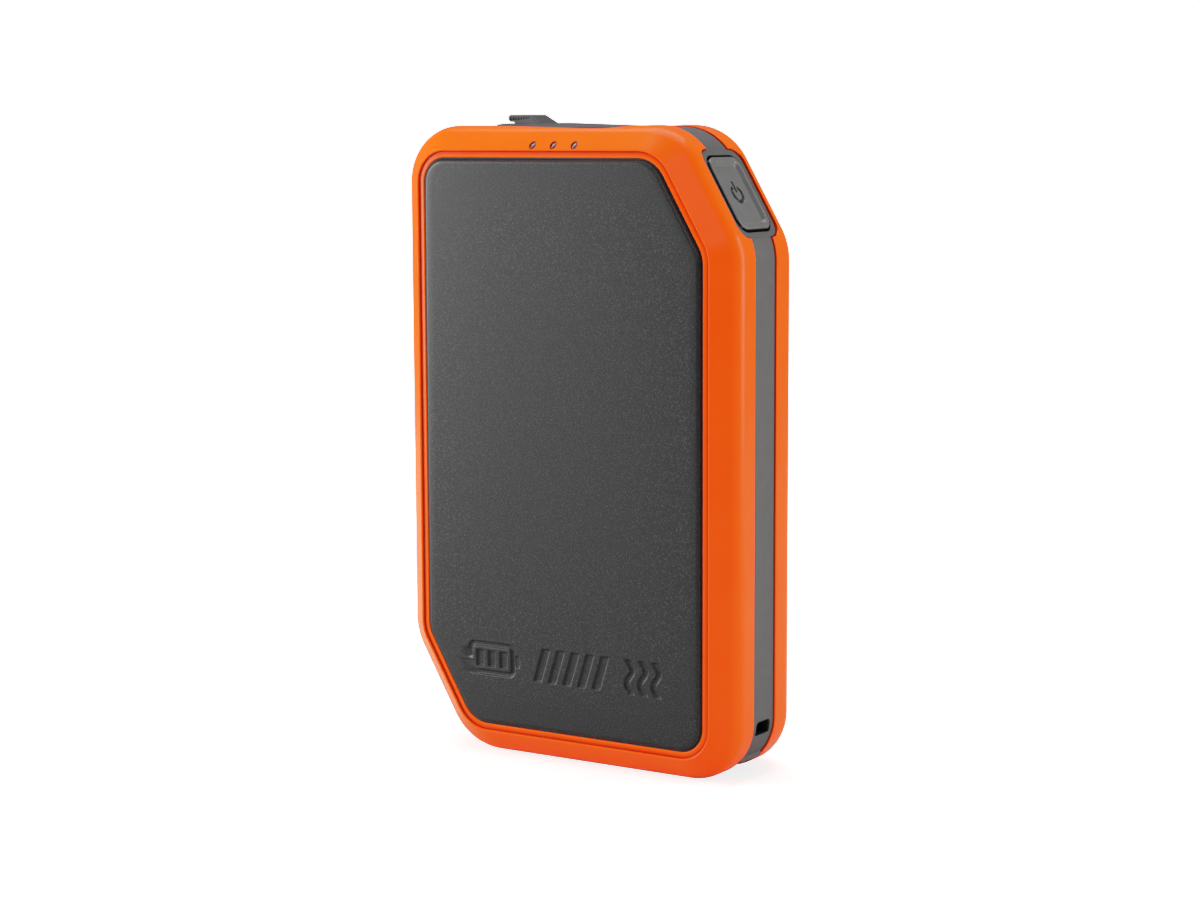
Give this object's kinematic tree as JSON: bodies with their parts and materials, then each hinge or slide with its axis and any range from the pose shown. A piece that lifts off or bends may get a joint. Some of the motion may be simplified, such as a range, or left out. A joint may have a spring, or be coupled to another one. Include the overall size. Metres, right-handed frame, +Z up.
{
  "type": "power bank",
  "caption": "Rugged pocket power bank with two textured warming panels, split protective bumpers, a chamfer power button and a hinged rubber cover over its charging sockets.",
  "frame": {"origin": "middle of the base, on the surface that the power bank stands on", "axes": "+Z up along the height, the front panel faces -Y, +X to the right as seen from the front"},
  "size_m": [0.0736, 0.0272, 0.1224],
  "materials": {
    "bumper_orange": "satin moulded elastomer, orange",
    "band_grey": "fine matte moulded plastic, mid grey",
    "panel_grey": "fine textured powder coat on aluminium, dark grey",
    "seal_black": "matte black rubber",
    "film_amber": "amber polyimide film",
    "pad_white": "needled insulation felt",
    "steel": "plain bright steel",
    "cell_sleeve": "shrunk PVC sleeve",
    "cradle_black": "moulded black plastic",
    "nickel": "rolled nickel strip",
    "lead_red": "silicone wire insulation, red",
    "lead_black": "silicone wire insulation, black",
    "circuit_green": "solder-masked glass-fibre board",
    "chip_black": "moulded epoxy",
    "contact_white": "moulded nylon, off-white",
    "ferrite": "pressed ferrite",
    "capacitor_can": "drawn aluminium can",
    "lamp_clear": "moulded clear acrylic",
    "button_grey": "soft-touch moulded plastic, mid grey",
    "cover_grey": "moulded silicone rubber, dark grey"
  },
  "bodies": {
    "housing": {"front_bumper": "bumper_orange", "rear_bumper": "bumper_orange", "mid_frame": "band_grey", "front_panel": "panel_grey", "rear_panel": "panel_grey", "front_gasket": "seal_black", "rear_gasket": "seal_black", "front_heater_film": "film_amber", "rear_heater_film": "film_amber", "front_insulation_pad": "pad_white", "rear_insulation_pad": "pad_white", "frame_screws": "steel", "cell_left": "cell_sleeve", "cell_middle": "cell_sleeve", "cell_right": "cell_sleeve", "lower_cell_cradle": "cradle_black", "upper_cell_cradle": "cradle_black", "lower_nickel_strip": "nickel", "upper_nickel_strip": "nickel", "positive_lead": "lead_red", "negative_lead": "lead_black", "protection_board": "circuit_green", "protection_chips": "chip_black", "thermistor": "chip_black", "main_board": "circuit_green", "usb_a_shell": "steel", "usb_a_tongue": "contact_white", "micro_usb_shell": "steel", "micro_usb_tongue": "cradle_black", "power_inductor": "ferrite", "controller_chips": "chip_black", "capacitors": "capacitor_can", "indicator_board": "circuit_green", "indicator_leds": "contact_white", "light_pipes": "lamp_clear", "button_seal": "seal_black", "switch_body": "steel", "switch_board": "circuit_green", "cover_hinge_pin": "steel"},
    "power_button": {"button_cap": "button_grey"},
    "switch_plunger": {"switch_plunger": "chip_black"},
    "port_cover": {"port_cover": "cover_grey"}
  },
  "joints": [
    {"name": "button_press", "type": "slide", "parent": "housing", "child": "power_button", "axis": [-0.862, 0, -0.5068], "range_m": [0, 0.0006], "stiffness_N_per_m": 900},
    {"name": "plunger_press", "type": "slide", "parent": "housing", "child": "switch_plunger", "axis": [-0.862, 0, -0.5068], "range_m": [0, 0.0006]},
    {"name": "cover_hinge", "type": "hinge", "parent": "housing", "child": "port_cover", "pos_m": [0.0093, 0, 0.11935], "axis": [0, 1, 0], "range_deg": [0, 110]}
  ],
  "couplings": [
    {"joint": "plunger_press", "follows": "button_press", "ratio": 1}
  ]
}
